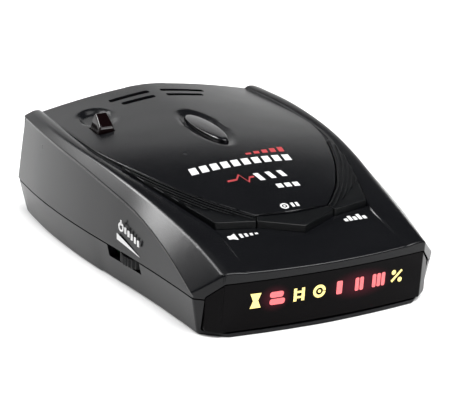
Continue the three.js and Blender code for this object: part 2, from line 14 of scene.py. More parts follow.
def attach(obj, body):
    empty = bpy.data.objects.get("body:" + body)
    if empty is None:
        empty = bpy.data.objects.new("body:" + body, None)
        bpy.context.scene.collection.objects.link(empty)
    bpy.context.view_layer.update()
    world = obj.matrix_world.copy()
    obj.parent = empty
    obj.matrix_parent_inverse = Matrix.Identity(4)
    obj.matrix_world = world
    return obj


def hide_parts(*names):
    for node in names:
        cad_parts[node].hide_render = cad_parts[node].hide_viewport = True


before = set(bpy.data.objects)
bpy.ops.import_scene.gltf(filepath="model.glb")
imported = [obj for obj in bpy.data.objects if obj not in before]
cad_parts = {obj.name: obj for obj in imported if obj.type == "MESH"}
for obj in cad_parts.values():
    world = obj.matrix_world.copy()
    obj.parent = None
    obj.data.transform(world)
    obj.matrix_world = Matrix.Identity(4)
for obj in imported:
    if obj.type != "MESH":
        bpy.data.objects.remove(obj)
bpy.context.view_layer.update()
MM = 0.001

# ---------------------------------------------------------------- mesh helpers


def build(name, verts, faces):
    """Closed mesh object from millimetre points."""
    mesh = bpy.data.meshes.new(name)
    mesh.from_pydata([(x * MM, y * MM, z * MM) for x, y, z in verts], [], faces)
    bm = bmesh.new()
    bm.from_mesh(mesh)
    bmesh.ops.recalc_face_normals(bm, faces=bm.faces)
    bm.to_mesh(mesh)
    bm.free()
    obj = bpy.data.objects.new(name, mesh)
    bpy.context.scene.collection.objects.link(obj)
    return obj


def loft(name, rings):
    """Closed skin through rings of points with equal counts, with both ends capped."""
    count = len(rings[0])
    faces = []
    for r in range(len(rings) - 1):
        for i in range(count):
            j = (i + 1) % count
            faces.append((r * count + i, r * count + j, (r + 1) * count + j, (r + 1) * count + i))
    last = (len(rings) - 1) * count
    faces.append(tuple(range(count)))
    faces.append(tuple(last + i for i in range(count)))
    return build(name, [p for ring in rings for p in ring], faces)


def prism(name, outline, z0, z1):
    """Plan outline raised from z0 to z1."""
    return loft(name, [[(x, y, z) for x, y in outline] for z in (z0, z1)])


def prism_y(name, outline, y0, y1):
    """Outline of [x, z] points pushed through along Y."""
    return loft(name, [[(x, y, z) for x, z in outline] for y in (y0, y1)])


def prism_x(name, outline, x0, x1):
    """Outline of [y, z] points pushed through along X."""
    return loft(name, [[(x, y, z) for y, z in outline] for x in (x0, x1)])


def block(name, xs, ys, zs):
    return prism(name, [(xs[0], ys[0]), (xs[1], ys[0]), (xs[1], ys[1]), (xs[0], ys[1])], *zs)


def circle(cx, cy, radius, sides=48):
    return ellipse(cx, cy, radius, radius, sides)


def ellipse(cx, cy, rx, ry, sides=64):
    angles = [2 * math.pi * i / sides for i in range(sides)]
    return [(cx + rx * math.cos(a), cy + ry * math.sin(a)) for a in angles]


def rounded(corners, steps=5):
    """Closed outline with each (x, y, radius) corner rounded."""
    outline = []
    for i, (x, y, radius) in enumerate(corners):
        here = Vector((x, y))
        before = Vector(corners[i - 1][:2]) - here
        after = Vector(corners[(i + 1) % len(corners)][:2]) - here
        turn = before.angle(after)
        if radius <= 0 or turn > math.pi - 0.02:
            outline.append((x, y))
            continue
        reach = min(radius / math.tan(turn / 2), before.length * 0.48, after.length * 0.48)
        start = here + before.normalized() * reach
        end = here + after.normalized() * reach
        for k in range(steps + 1):
            t = k / steps
            p = start * (1 - t) ** 2 + here * 2 * t * (1 - t) + end * t ** 2
            outline.append((p.x, p.y))
    return outline


def combine(body, tool, operation):
    """Boolean of two closed meshes; the tool is used up."""
    change = body.modifiers.new("combine", "BOOLEAN")
    change.object = tool
    change.operation = operation
    change.solver = "MANIFOLD"
    graph = bpy.context.evaluated_depsgraph_get()
    graph.update()
    mesh = bpy.data.meshes.new_from_object(body.evaluated_get(graph))
    body.modifiers.clear()
    spent = body.data
    body.data = mesh
    bpy.data.meshes.remove(spent)
    bpy.data.objects.remove(tool)
    return body


def cut(body, *tools):
    for tool in tools:
        combine(body, tool, "DIFFERENCE")
    return body


def join(body, *tools):
    for tool in tools:
        combine(body, tool, "UNION")
    return body


def keep_inside(body, *tools):
    for tool in tools:
        combine(body, tool, "INTERSECT")
    return body


def copy_of(obj, name):
    twin = bpy.data.objects.new(name, obj.data.copy())
    bpy.context.scene.collection.objects.link(twin)
    return twin


def mirror_x(obj):
    for v in obj.data.vertices:
        v.co.x = -v.co.x
    obj.data.flip_normals()
    return obj


def soften(obj, width, segments=2, angle=35, where=None):
    """Rounds the edges that turn more than the angle, all of them or those that where() picks."""
    bm = bmesh.new()
    bm.from_mesh(obj.data)
    bmesh.ops.remove_doubles(bm, verts=bm.verts, dist=0.01 * MM)
    edges = []
    for e in bm.edges:
        if len(e.link_faces) != 2 or e.calc_face_angle(0) < math.radians(angle):
            continue
        middle = (e.verts[0].co + e.verts[1].co) / (2 * MM)
        if where is None or where(middle):
            edges.append(e)
    bmesh.ops.bevel(bm, geom=edges, offset=width * MM, offset_type="OFFSET", segments=segments,
                    profile=0.5, affect="EDGES", clamp_overlap=False)
    bm.to_mesh(obj.data)
    bm.free()
    return obj


def smooth(obj, angle=32):
    """Smooth shading with the sharp edges kept."""
    mesh = obj.data
    mesh.polygons.foreach_set("use_smooth", [True] * len(mesh.polygons))
    mesh.set_sharp_from_angle(angle=math.radians(angle))
    weighted = obj.modifiers.new("even_normals", "WEIGHTED_NORMAL")
    weighted.keep_sharp = True
    return obj


def curve_through(stations):
    """Smooth curve through (position, value) stations, straight beyond the ends."""
    def slope(i):
        a = stations[max(i - 1, 0)]
        b = stations[min(i + 1, len(stations) - 1)]
        return (b[1] - a[1]) / (b[0] - a[0])

    def value(at):
        i = 0
        while i < len(stations) - 2 and at > stations[i + 1][0]:
            i += 1
        (p0, v0), (p1, v1) = stations[i], stations[i + 1]
        h = p1 - p0
        t = (at - p0) / h
        if t < 0:
            return v0 + slope(i) * h * t
        if t > 1:
            return v1 + slope(i + 1) * h * (t - 1)
        t2, t3 = t * t, t * t * t
        return (v0 * (2 * t3 - 3 * t2 + 1) + v1 * (3 * t2 - 2 * t3)
                + h * (slope(i) * (t3 - 2 * t2 + t) + slope(i + 1) * (t3 - t2)))
    return value


def spread(start, end, steps):
    return [start + (end - start) * i / steps for i in range(steps + 1)]


def mirrored(half):
    """Right-hand half of an outline, completed with its mirror image."""
    whole = list(half) + [(-x, v) for x, v in reversed(half)]
    return [p for i, p in enumerate(whole) if math.dist(p, whole[i - 1]) > 1e-6]


def ease(t):
    t = min(max(t, 0.0), 1.0)
    return t * t * (3 - 2 * t)


# ---------------------------------------------------------------- driving dimensions

GAP = 0.3                          # clearance between neighbouring pieces
WALL = 1.8                         # wall of both case halves
PARTING = 9.3                      # height of the line between the case halves
SEAM = 0.3                         # open seam on that line
FRONT_LEAN = 0.1                   # display end leans forward, mm per mm of height
REAR_LEAN = 0.25                   # antenna end leans in, mm per mm of height
BASE_INSET = 1.5                   # how far the lower case has drawn in at the base
FRONT_MIDDLE = -54.4               # bowed display end, on the centre line
FRONT_CORNER = (25.9, -52.6)
CHEEK_CORNER = (31.2, -48.0)
REAR_CORNER = (35.2, 52.8)
REAR_APEX = 55

# Stations along Y: half width of the sides, the rounded rail (outer edge, height, inner edge), the
# sloping band below it, the drop of the deck below the rail, and the crowned centre panel.
side_x = curve_through([(-60, 31), (-48, 31.1), (-33, 32), (-20, 33.2), (-6, 34.9), (8, 36.4),
                        (20, 37.2), (32, 37.5), (44, 37.1), (60, 36)])
rail_x = curve_through([(-60, 25.7), (-52, 25.9), (-40, 26.7), (-26, 28.4), (-12, 30.8),
                        (2, 32.7), (16, 34), (30, 34.4), (42, 33.6), (54, 32.3)])
rail_z = curve_through([(-60, 13.6), (-53, 15.9), (-40, 19.7), (-26, 22.8), (-12, 25.2),
                        (2, 26.8), (16, 27.7), (30, 28.3), (44, 28.5), (56, 28.3)])
rail_inner_x = curve_through([(-60, 19.9), (-46, 19.9), (-37, 20), (-27.5, 22.8), (-14, 26.4),
                              (-1, 29.6), (8, 30.8), (26, 31.2), (44, 30.5), (56, 30)])
band_x = curve_through([(-60, 31), (-48, 31.1), (-33, 31.4), (-19, 32.1), (-5, 33.7), (9, 35),
                        (23, 35.7), (37, 35.7), (54, 35)])
band_z = curve_through([(-60, 4.4), (-48, 9.9), (-36, 15.2), (-26, 18.5), (-16, 20.8),
                        (-5, 22.7), (8, 24.5), (22, 25.6), (36, 26.4), (54, 27.1)])
deck_drop = curve_through([(-60, 0), (-53.5, 0.08), (-46, 0.5), (-40, 0.75), (60, 0.75)])
crown_z = curve_through([(-46, 18.2), (-37, 21.6), (-26, 24.8), (-14, 27.3), (-2, 28.9),
                         (12, 29.9), (26, 30.7), (40, 31.5), (54, 32.3)])
crown_ridge = curve_through([(-46, 0), (-10, 0), (20, 0.02), (50, 0.07)])
crown_round = curve_through([(-46, 0.004), (-26, 0.0044), (-14, 0.0036), (0, 0.0028),
                             (12, 0.0024), (50, 0.0026)])
CROWN_EDGE = [(0, -36.7), (5, -36.5), (9.3, -35.8), (11.2, -34), (13.3, -31.5), (16.1, -28),
              (19.1, -23), (21.8, -18), (24, -13), (25.9, -8), (27.6, -3), (29.1, 2.5),
              (30.4, 10), (31, 26), (30.4, 44), (30, 60)]

FLOOR = 1.8                        # thickness of the base
FRONT_SCREW = (25.5, -39)
REAR_SCREW = (29.5, 40)
WHEEL = {"x": -26.5, "y": -15.5, "radius": 7.6, "z": (6.5, 8.8)}
WHEEL_SLOT = ((-40, -30), (-22.6, -7.4), (6.1, 20))
JACK = {"y": -2, "z": 9.6, "nose": 3.3, "bore": 2.75}
BUTTON = {"y": 10.2, "rx": 2.7, "ry": 11.4}
DOME = {"rx": 6.4, "ry": 24, "rise": 3.4, "tilt": 0.035, "sunk": 2.9}      # top of the button
BRACKET = {"half_width": 11, "y": (28.5, 60), "z": (19.6, 24)}
SPEAKER = {"x": 0, "y": 37, "radius": 10.4}
REAR_LENS = {"x": (-25.6, -21.4), "y": (19.4, 25.6), "ridge": (-24.2, -21.1), "top": 32.45}
LENS_DISH = {"x": -21.2, "y": 32, "rx": 4.7, "ry": 7.3, "depth": 1.1}
ROAD_LENS = {"x": 23, "z": 14.4, "radius": 3.6}
GRILLE = {"rows": ((42.9, 13.6), (38.6, 11.6)), "inner": 2, "slant": 0.14, "half": 0.75}
LENS = {"half_width": 28.8, "flat_half": 25.6, "bottom": 1.2, "shoulder": 9.7, "top": 13.1}
SCREWS = [(s * x, y) for x, y in (FRONT_SCREW, REAR_SCREW) for s in (-1, 1)]

# ---------------------------------------------------------------- surfaces


def crown_fall(x, y):
    return crown_ridge(y) * (math.hypot(x, 3) - 3) + crown_round(y) * x * x


def dish(x, y, centre, radii, depth, rim):
    """Depth of a shallow dish with a soft rim, at (x, y)."""
    r = math.hypot((x - centre[0]) / radii[0], (y - centre[1]) / radii[1])
    return depth * ease((1 - r) / rim)


def crown_top(x, y):
    """Height of the centre panel with the dishes round the button and the rear laser lens."""
    z = crown_z(y) - crown_fall(x, y)
    z -= dish(x, y, (0, BUTTON["y"] + 0.6), (BUTTON["rx"] + 2.2, BUTTON["ry"] + 3.6), 0.9, 0.28)
    z -= dish(x, y, (LENS_DISH["x"], LENS_DISH["y"]), (LENS_DISH["rx"], LENS_DISH["ry"]),
              LENS_DISH["depth"], 0.3)
    return z


def crown_slab(name, top, bottom, step=1.0, half=34, ends=(-58, 58)):
    """Slab that follows the centre panel between two depths below it."""
    xs = spread(half, -half, round(2 * half / step))
    rings = []
    for y in spread(*ends, round((ends[1] - ends[0]) / step)):
        heights = [crown_top(x, y) for x in xs]
        rings.append([(x, y, z - top) for x, z in zip(xs, heights)]
                     + [(x, y, z - bottom) for x, z in reversed(list(zip(xs, heights)))])
    return loft(name, rings)


def ends_outline(inset, radius=1.0):
    """Plan outline of the two ends of the case; the flanks come from the cross-sections."""
    bow = [(FRONT_CORNER[0] * t, FRONT_MIDDLE + (FRONT_CORNER[1] - FRONT_MIDDLE) * t * t + inset)
           for t in spread(0, 1, 12)]
    cheek_y = CHEEK_CORNER[1] + (38 - CHEEK_CORNER[0]) * 0.87 + inset
    half = [(x, y, 0) for x, y in bow[:-1]] + [
        (*bow[-1], radius),
        (38, cheek_y, 0),
        (38, REAR_CORNER[1] - 2.8 - inset, 0),
        (REAR_CORNER[0] - inset * 0.4, REAR_CORNER[1] - inset, 2.5),
        (0, REAR_APEX - inset, 0),
    ]
    whole = half + [(-x, y, r) for x, y, r in reversed(half) if x > 0]
    return rounded(whole)


def leaning(name, outline, z0, z1):
    """Plan outline raised from z0 to z1 with the lean of the two ends."""
    def ring(z):
        return [(x, y - (z - PARTING) * (FRONT_LEAN if y < 0 else REAR_LEAN), z)
                for x, y in outline]
    return loft(name, [ring(z0), ring(z1)])


def fillet_line(corners, steps=4):
    """Open line of (x, z, radius) corners with every inner corner rounded."""
    line = [corners[0][:2]]
    for a, here, b in zip(corners, corners[1:], corners[2:]):
        p = Vector(here[:2])
        before = Vector(a[:2]) - p
        after = Vector(b[:2]) - p
        reach = min(here[2], before.length * 0.45, after.length * 0.45)
        start = p + before.normalized() * reach
        end = p + after.normalized() * reach
        for k in range(steps + 1):
            t = k / steps
            q = start * (1 - t) ** 2 + p * 2 * t * (1 - t) + end * t ** 2
            line.append((q.x, q.y))
    line.append(corners[-1][:2])
    return line


def upper_section(y, wall):
    """Cross-section of the upper case at y, shrunk by the wall thickness."""
    rx, rz, inner = rail_x(y), rail_z(y), rail_inner_x(y)
    bx, bz, px = band_x(y), band_z(y), side_x(y)
    lip = 0 if wall else 0.45
    half = fillet_line([
        (0, rz - deck_drop(y) - wall, 0),
        (inner - wall, rz - deck_drop(y) - wall, 0.3),
        (inner + 0.5 - wall, rz - 0.2 - wall, 0.5),
        ((inner + rx) / 2 - wall * 0.8, rz + 0.05 - wall, 1.2),
        (rx - 0.1 - wall * 0.8, rz - 0.03 - wall * 0.9, 1.1),
        (bx + lip - wall, bz + 0.4 - wall * 0.4, 0.45),
        (bx - 0.1 - wall, bz - 0.3 - wall * 0.4, 0.3),
        (px - wall, min(PARTING, bz - 1 - wall), 0.5),
        (px - wall, -3, 0),
    ])
    return [(x, y, z) for x, z in mirrored(half)]


def upper_blank(name, wall, step=1.5):
    stations = [-60, -53] + spread(-51.5, 55, round(106.5 / step)) + [60]
    return loft(name, [upper_section(y, wall) for y in stations])


def lower_plan(inset):
    """Plan outline of the lower case, drawn in on all sides."""
    bow = [(FRONT_CORNER[0] * t, FRONT_MIDDLE + (FRONT_CORNER[1] - FRONT_MIDDLE) * t * t + inset)
           for t in spread(0, 1, 12)]
    flank = [(side_x(y) - inset, y + (inset if y < -40 else 0)) for y in spread(-48, 50, 28)]
    half = ([(x, y, 0) for x, y in bow[:-1]] + [(*bow[-1], 1.0), (*flank[0], 1.2)]
            + [(x, y, 0) for x, y in flank[1:]]
            + [(REAR_CORNER[0] - 0.6 - inset, REAR_CORNER[1] - inset, 2.0),
               (0, REAR_APEX - inset, 0)])
    return rounded(half + [(-x, y, r) for x, y, r in reversed(half) if x > 0])


def lower_blank(name, inset, rings):
    """Body of the lower case from (height, draft) rings."""
    made = []
    for z, draft in rings:
        ring = []
        for x, y in lower_plan(inset):
            pull = math.copysign(draft, x) * min(1, abs(x) / 8)
            ring.append((x - pull, y - (z - PARTING) * FRONT_LEAN if y < 0 else y - draft, z))
        made.append(ring)
    return loft(name, made)


def crown_run(y0, y1, offset):
    """Half outline of the centre panel between two positions, pushed outwards."""
    points = [p for p in CROWN_EDGE if y0 <= p[1] <= y1]
    moved = []
    for i, (x, y) in enumerate(points):
        a, b = points[max(i - 1, 0)], points[min(i + 1, len(points) - 1)]
        length = math.dist(a, b)
        moved.append((max(0, x + (b[1] - a[1]) / length * offset),
                      y - (b[0] - a[0]) / length * offset))
    return moved


def smooth_run(points, per_span=5):
    """Denser run through the same points along a smooth curve."""
    dense = []
    for i in range(len(points) - 1):
        p0 = Vector(points[max(i - 1, 0)])
        p1, p2 = Vector(points[i]), Vector(points[i + 1])
        p3 = Vector(points[min(i + 2, len(points) - 1)])
        for k in range(per_span):
            t = k / per_span
            q = 0.5 * (2 * p1 + (p2 - p0) * t + (2 * p0 - 5 * p1 + 4 * p2 - p3) * t ** 2
                       + (3 * p1 - p0 - 3 * p2 + p3) * t ** 3)
            dense.append((q.x, q.y))
    dense.append(tuple(points[-1]))
    return dense


# ---------------------------------------------------------------- keys

key_lift = curve_through([(-60, 0.9), (-38, 0.85), (-27, 0.6), (-2, 0.1), (10, 0.1)])
PAD_FRONT, PAD_CORNER, PAD_REAR = (10.4, -38), (19.9, -36.2), (22.9, -27.2)
TAIL_OUTER = ((25.1, -20), (26.9, -13.5), (28, -7.5), (28.6, -2.8))
RIB = {"count": 5, "pitch": 1.05, "width": 0.45, "height": 0.3}


def side_key_outline(grow):
    inner = smooth_run(crown_run(-36, -3, GAP - grow))
    outer = [(x + grow, y) for x, y in (PAD_REAR, *TAIL_OUTER)]
    outer[-1] = (outer[-1][0], outer[-1][1] + 2 * grow)
    front = [(PAD_FRONT[0] - grow, PAD_FRONT[1] - grow, 0.3),
             (PAD_CORNER[0] + grow * 0.6, PAD_CORNER[1] - grow, 0.6)]
    return rounded(front + [(x, y, 0) for x, y in smooth_run(outer) + inner[::-1]])


def middle_key_outline(grow):
    tip = crown_run(-37, -35.5, GAP - grow)[-1]
    return mirrored([(0, -42.5 - grow * 1.2),
                     (10.1 + (grow - 0.3 if grow else 0), -38 - grow * 0.5),
                     tip, (0, CROWN_EDGE[0][1] - GAP + grow)])


def rail_slab(name, lift, depth):
    rings = []
    for y in spread(-60, 8, 68):
        top = rail_z(y) + lift(y)
        rings.append([(40, y, top), (-40, y, top), (-40, y, top - depth), (40, y, top - depth)])
    return loft(name, rings)


def side_key(name):
    """Flat finger pad in front and a tail with ridges that end on the pad's slanting rear edge."""
    outline = side_key_outline(0)
    zone = [PAD_FRONT, PAD_REAR, (40, PAD_REAR[1]), (40, 0), (0, 0), (0, PAD_FRONT[1])]
    body = keep_inside(prism(name, outline, 5, 60), rail_slab("slab", key_lift, 2.4))
    soften(body, 0.2, 3, 50, where=lambda p: p.z > rail_z(p.y) - 0.5)
    for i in range(RIB["count"]):
        start = GAP + 0.3 + i * RIB["pitch"]
        band = (smooth_run(crown_run(-36, -3, start))
                + smooth_run(crown_run(-36, -3, start + RIB["width"]))[::-1])
        rib = prism("rib", band, 5, 60)
        keep_inside(rib, prism("tail", outline, 4, 61), prism("zone", zone, 0, 70),
                    rail_slab("slab", lambda y: key_lift(y) + RIB["height"], 1))
        soften(rib, 0.1, 2, 50, where=lambda p: p.z > rail_z(p.y) + key_lift(p.y) + 0.1)
        join(body, rib)
    return body


def middle_key(name):
    body = keep_inside(prism(name, middle_key_outline(0), 5, 60),
                       rail_slab("slab", key_lift, 2.4))
    return soften(body, 0.25, 3, 50, where=lambda p: p.z > rail_z(p.y) - 0.5)


# ---------------------------------------------------------------- case


def lens_face(name, grow, y0, y1):
    corners = [
        (LENS["half_width"] + grow, LENS["bottom"] - grow, 0.8),
        (LENS["half_width"] + grow, LENS["shoulder"] + grow * 0.4, 1.2),
        (LENS["flat_half"] + grow * 0.4, LENS["top"] + grow, 1.2),
    ]
    whole = [(-x, z, r) for x, z, r in reversed(corners)] + corners
    return prism_y(name, rounded(whole), y0, y1)


def rod_x(name, radius, x0, x1, y, z, sides=48):
    return prism_x(name, circle(y, z, radius, sides), x0, x1)


def rod_y(name, radius, y0, y1, x, z, sides=48):
    return prism_y(name, circle(x, z, radius, sides), y0, y1)


def rod(name, radius, x, y, z0, z1, sides=48):
    return prism(name, circle(x, y, radius, sides), z0, z1)


def key_openings():
    clear = GAP - 0.01             # a touch short of GAP, so that no cutting walls coincide
    right = prism("key_opening", side_key_outline(clear), 8, 60)
    return [right, mirror_x(copy_of(right, "key_opening_left")),
            prism("middle_opening", middle_key_outline(clear), 8, 60)]


def grille_slots(grow):
    """Speaker slots: two rows of short slanted openings on each side of the centre line."""
    slots = []
    inner, half = GRILLE["inner"], GRILLE["half"] + grow
    for row, outer in GRILLE["rows"]:
        for side in (-1, 1):
            ya, yb = row - inner * GRILLE["slant"], row - outer * GRILLE["slant"]
            slots.append(prism("slot", rounded([
                (side * (inner - grow), ya - half, 0.7), (side * (outer + grow), yb - half, 0.7),
                (side * (outer + grow), yb + half, 0.7), (side * (inner - grow), ya + half, 0.7)]),
                24, 60))
    return slots


def crown_plan(inset):
    return mirrored(smooth_run(crown_run(-40, 70, -inset)))


def upper_case():
    body = keep_inside(upper_blank("upper_case_shell", 0),
                       leaning("ends", ends_outline(0), -5, 60))
    soften(body, 0.4, 3, 40, where=lambda p: p.z > PARTING)
    crown = keep_inside(crown_slab("crown", 0, 6, 0.75), prism("plan", crown_plan(0), 0, 60),
                        leaning("ends", ends_outline(0), -4, 61))
    soften(crown, 0.3, 3, 50, where=lambda p: p.z > rail_z(p.y) - 1)
    join(body, crown)
    filled = copy_of(body, "filled")
    inner = keep_inside(upper_blank("inner", WALL, 3),
                        leaning("ends", ends_outline(WALL), -6, 60))
    hollow = keep_inside(crown_slab("hollow", WALL, 9, 2), prism("plan", crown_plan(WALL), 0, 60),
                         leaning("ends", ends_outline(WALL), -4, 61))
    cut(body, inner, hollow)
    b, s = BUTTON, SPEAKER
    speaker_ring = cut(rod("ring", s["radius"] + 1.5, s["x"], s["y"], 26, 60),
                       rod("bore", s["radius"] + GAP, s["x"], s["y"], 20, 61))
    y0, (z0, z1), half = BRACKET["y"][0], BRACKET["z"], BRACKET["half_width"]
    inner_parts = [
        prism("well", ellipse(0, b["y"], b["rx"] + 1.6, b["ry"] + 1.6), 24.6, 60),
        speaker_ring,
        block("sleeve", (-half - 1.2, half + 1.2), (y0 - 1.2, 60), (z0 - 1.2, z1 + 1.2)),
    ] + [rod("boss", 3.4, x, y, PARTING, 60) for x, y in SCREWS]
    for piece in inner_parts:
        join(body, keep_inside(piece, copy_of(filled, "limit")))
    slots = [keep_inside(slot, crown_slab("slot_depth", -2, WALL + 0.5, 2))
             for slot in grille_slots(0)]
    rims = [keep_inside(rim, crown_slab("rim_depth", -2, 0.25, 2)) for rim in grille_slots(0.3)]
    (lx0, lx1), (ly0, ly1) = REAR_LENS["x"], REAR_LENS["y"]
    cut(body, *key_openings(), *slots, *rims,
        block("lens_hole", (lx0 - GAP, lx1 + GAP), (ly0 - GAP, ly1 + GAP), (20, 60)),
        lens_face("lens_opening", GAP * 0.8, -60, -46),
        rod_x("jack_hole", JACK["nose"] + GAP, 28, 50, JACK["y"], JACK["z"]),
        prism("well_hole", ellipse(0, b["y"], b["rx"] + GAP, b["ry"] + GAP), 20, 60),
        block("bracket", (-half, half), BRACKET["y"], BRACKET["z"]),
        rod_y("road_lens_hole", ROAD_LENS["radius"] + GAP, 48, 60, ROAD_LENS["x"], ROAD_LENS["z"]),
        *[rod("pilot", 1.4, x, y, 5, 16.5) for x, y in SCREWS],
        cut(lower_blank("tongue_room", 0.9, [(PARTING - 1, 0), (PARTING + 1.4, 0)]),
            lower_blank("tongue_core", 3, [(PARTING - 2, 0), (PARTING + 2, 0)])),
        block("below", (-50, 50), (-70, 70), (-5, PARTING)))
    bpy.data.objects.remove(filled)
    return body


def lower_case():
    outer = lower_blank("lower_case_tub", 0, [(0, BASE_INSET + 0.6), (0.25, BASE_INSET + 0.2),
                                              (0.7, BASE_INSET), (PARTING - SEAM, 0)])
    soften(outer, 0.15, 2, 50, where=lambda p: p.z > 5)
    inner = lower_blank("inner", WALL, [(FLOOR, BASE_INSET), (PARTING + 1, 0)])
    body = cut(outer, inner)
    tongue = cut(lower_blank("tongue", 1.0, [(PARTING - 1.5, 0), (PARTING + 1.2, 0)]),
                 lower_blank("core", 1.8, [(PARTING - 2, 0), (PARTING + 2, 0)]))
    join(body, tongue, *[rod("boss", 3.6, x, y, 1, PARTING - SEAM) for x, y in SCREWS])
    cut(body, lens_face("lens_opening", GAP * 0.8, -60, -46),
        rod_x("jack_hole", JACK["nose"] + GAP, 28, 50, JACK["y"], JACK["z"]),
        block("wheel_slot", *WHEEL_SLOT),
        block("label_recess", (-20, 20), (-20, 10), (-1, 0.3)))
    for x, y in SCREWS:
        cut(body, rod("bore", 1.4, x, y, -1, 12), rod("counterbore", 2.9, x, y, -1, 2.4))
    return body


# ---------------------------------------------------------------- lenses, button, wheel, jack


def display_lens():
    body = leaning("display_window", ends_outline(0.3), -2, 30)
    cut(body, leaning("back", ends_outline(1.8), -3, 31))
    keep_inside(body, lens_face("face", 0, -60, -40))
    return soften(body, 0.3, 3, 50)


def release_button():
    """Domed cap with its skirt, retaining rim, stem and the lever that ends in the latch."""
    cy, rx, ry = BUTTON["y"], BUTTON["rx"], BUTTON["ry"]
    base = crown_z(cy) - DOME["sunk"]
    rings = [[(x, y, 23) for x, y in ellipse(0, cy, rx, ry)]]
    for turn in spread(0, 87, 12):
        share = math.cos(math.radians(turn))
        rounding = 0.35 * (1 - math.sqrt(1 - max(0, share - 0.9) ** 2 / 0.01))
        ring = []
        for x, y in ellipse(0, cy, rx * share, ry * share):
            share_left = 1 - (x / DOME["rx"]) ** 2 - ((y - cy) / DOME["ry"]) ** 2
            dome = DOME["rise"] * math.sqrt(share_left)
            ring.append((x, y, base + dome + DOME["tilt"] * (y - cy) - rounding))
        rings.append(ring)
    body = loft("release_cap", rings)
    join(body, prism("rim", ellipse(0, cy, rx + 1.2, ry + 1.2), 23, 24.2),
         block("stem", (-3.5, 3.5), (cy - 3.7, cy + 3.3), (16.6, 23.5)),
         block("lever", (-3, 3), (cy + 2.2, 36), (16.6, 18)),
         prism_x("latch", [(31.8, 17.5), (36, 17.5), (36, 20), (34.6, 21.3), (31.8, 21.3)], -3, 3))
    return cut(body, rod("spring_seat", 2.5, 0, cy, 10, 21.8))


def rear_laser_lens():
    """Wedge that rises towards the antenna end and leans in on its outer side."""
    (x0, x1), (y0, y1), top = REAR_LENS["x"], REAR_LENS["y"], REAR_LENS["top"]
    body = prism_x("rear_laser_window", [(y0, 25), (y1, 25), (y1, top - 0.45), (y1 - 0.8, top),
                                         (y0 + 1, top - 2.05), (y0, top - 3.05)], x0 - 1, x1 + 1)
    ridge0, ridge1 = REAR_LENS["ridge"]
    sides = [(x0, 25), (x1, 25), (x1, 28.8), (ridge1, top + 1), (ridge0, top), (x0, 28.8)]
    keep_inside(body, prism_y("sides", sides, y0 - 1, y1 + 1))
    return soften(body, 0.45, 4, 30, where=lambda p: p.z > 25.5)


def volume_wheel():
    w = WHEEL
    count = 160
    knurl = []
    for i in range(count):
        a = 2 * math.pi * i / count
        r = w["radius"] - (0, 0.18, 0.35, 0.18)[i % 4]
        knurl.append((w["x"] + r * math.cos(a), w["y"] + r * math.sin(a)))
    body = prism("volume_knob", knurl, *w["z"])
    soften(body, 0.12, 2, 60)
    return cut(body, rod("axle", 1.8, w["x"], w["y"], 0, 20),
               rod("dish", 5.6, w["x"], w["y"], w["z"][1] - 0.7, 20))


def jack_nose():
    j = JACK
    nose = rod_x("jack_nose", j["nose"], 31, 35.2, j["y"], j["z"])
    soften(nose, 0.25, 3, 50)
    cut(nose, rod_x("bore", j["bore"], 31.4, 50, j["y"], j["z"]))
    housing = block("power_socket", (21, 31.8), (j["y"] - 4.8, j["y"] + 4.8), (5, 14))
    soften(housing, 0.3, 2, 50)
    cut(housing, rod_x("bore", j["bore"], 26, 50, j["y"], j["z"]))
    join(housing, nose)
    pin = rod_x("pin", 0.7, 25, 34.4, j["y"], j["z"], 24)
    return join(housing, pin)


def base_label():
    """Blank label plate in the shallow recess under the base."""
    return block("base_label", (-19.5, 19.5), (-19.5, 9.5), (0.1, 0.3))


def road_laser_lens():
    r = ROAD_LENS["radius"]
    profile = [(r, 49.6), (r, 51.1)]
    profile += [(r * math.cos(math.radians(a)) ** 0.8, 51.1 + 1.1 * math.sin(math.radians(a)))
                for a in spread(8, 88, 10)]
    sides = 64
    rings = []
    for radius, y in profile:
        rings.append([(ROAD_LENS["x"] + radius * math.cos(2 * math.pi * i / sides), y,
                       ROAD_LENS["z"] + radius * math.sin(2 * math.pi * i / sides))
                      for i in range(sides)])
    return loft("road_laser_window", rings)


# ---------------------------------------------------------------- printed marks and lit signs

PRINT = 0.03                       # prints and lit signs stand this far off the surface


def bar(x, y, width, height, slant=0.0):
    """Slanted bar whose lower left corner is at (x, y)."""
    lean = slant * height
    return [(x, y), (x + width, y), (x + width + lean, y + height), (x + lean, y + height)]


def ring_mark(cx, cy, radius, line, start=0, end=352):
    angles = [math.radians(a) for a in spread(start, end, 28)]
    outer = [(cx + radius * math.cos(a), cy + radius * math.sin(a)) for a in angles]
    inner_radius = radius - line
    inner = [(cx + inner_radius * math.cos(a), cy + inner_radius * math.sin(a)) for a in angles]
    return outer + inner[::-1]


def stamped(name, outlines, place, depths, film):
    """Marks pushed through a thin film, which leaves them lying on the surface."""
    verts, faces = [], []
    for outline in outlines:
        start, count = len(verts), len(outline)
        for depth in depths:
            verts += [place(u, v, depth) for u, v in outline]
        faces.append(tuple(start + i for i in range(count)))
        faces.append(tuple(start + count + i for i in range(count)))
        for i in range(count):
            j = (i + 1) % count
            faces.append((start + i, start + j, start + count + j, start + count + i))
    return keep_inside(build(name, verts, faces), film)


def on_crown(name, outlines):
    film = crown_slab("film", -PRINT, 0.1, 0.75)
    return stamped(name, outlines, lambda u, v, w: (u, v, w), (15, 40), film)


def on_deck(name, outlines):
    rings = []
    for y in spread(-46, -38, 16):
        z = rail_z(y) - deck_drop(y)
        rings.append([(22, y, z + PRINT), (-22, y, z + PRINT), (-22, y, z - 0.1), (22, y, z - 0.1)])
    return stamped(name, outlines, lambda u, v, w: (u, v, w), (10, 40), loft("film", rings))


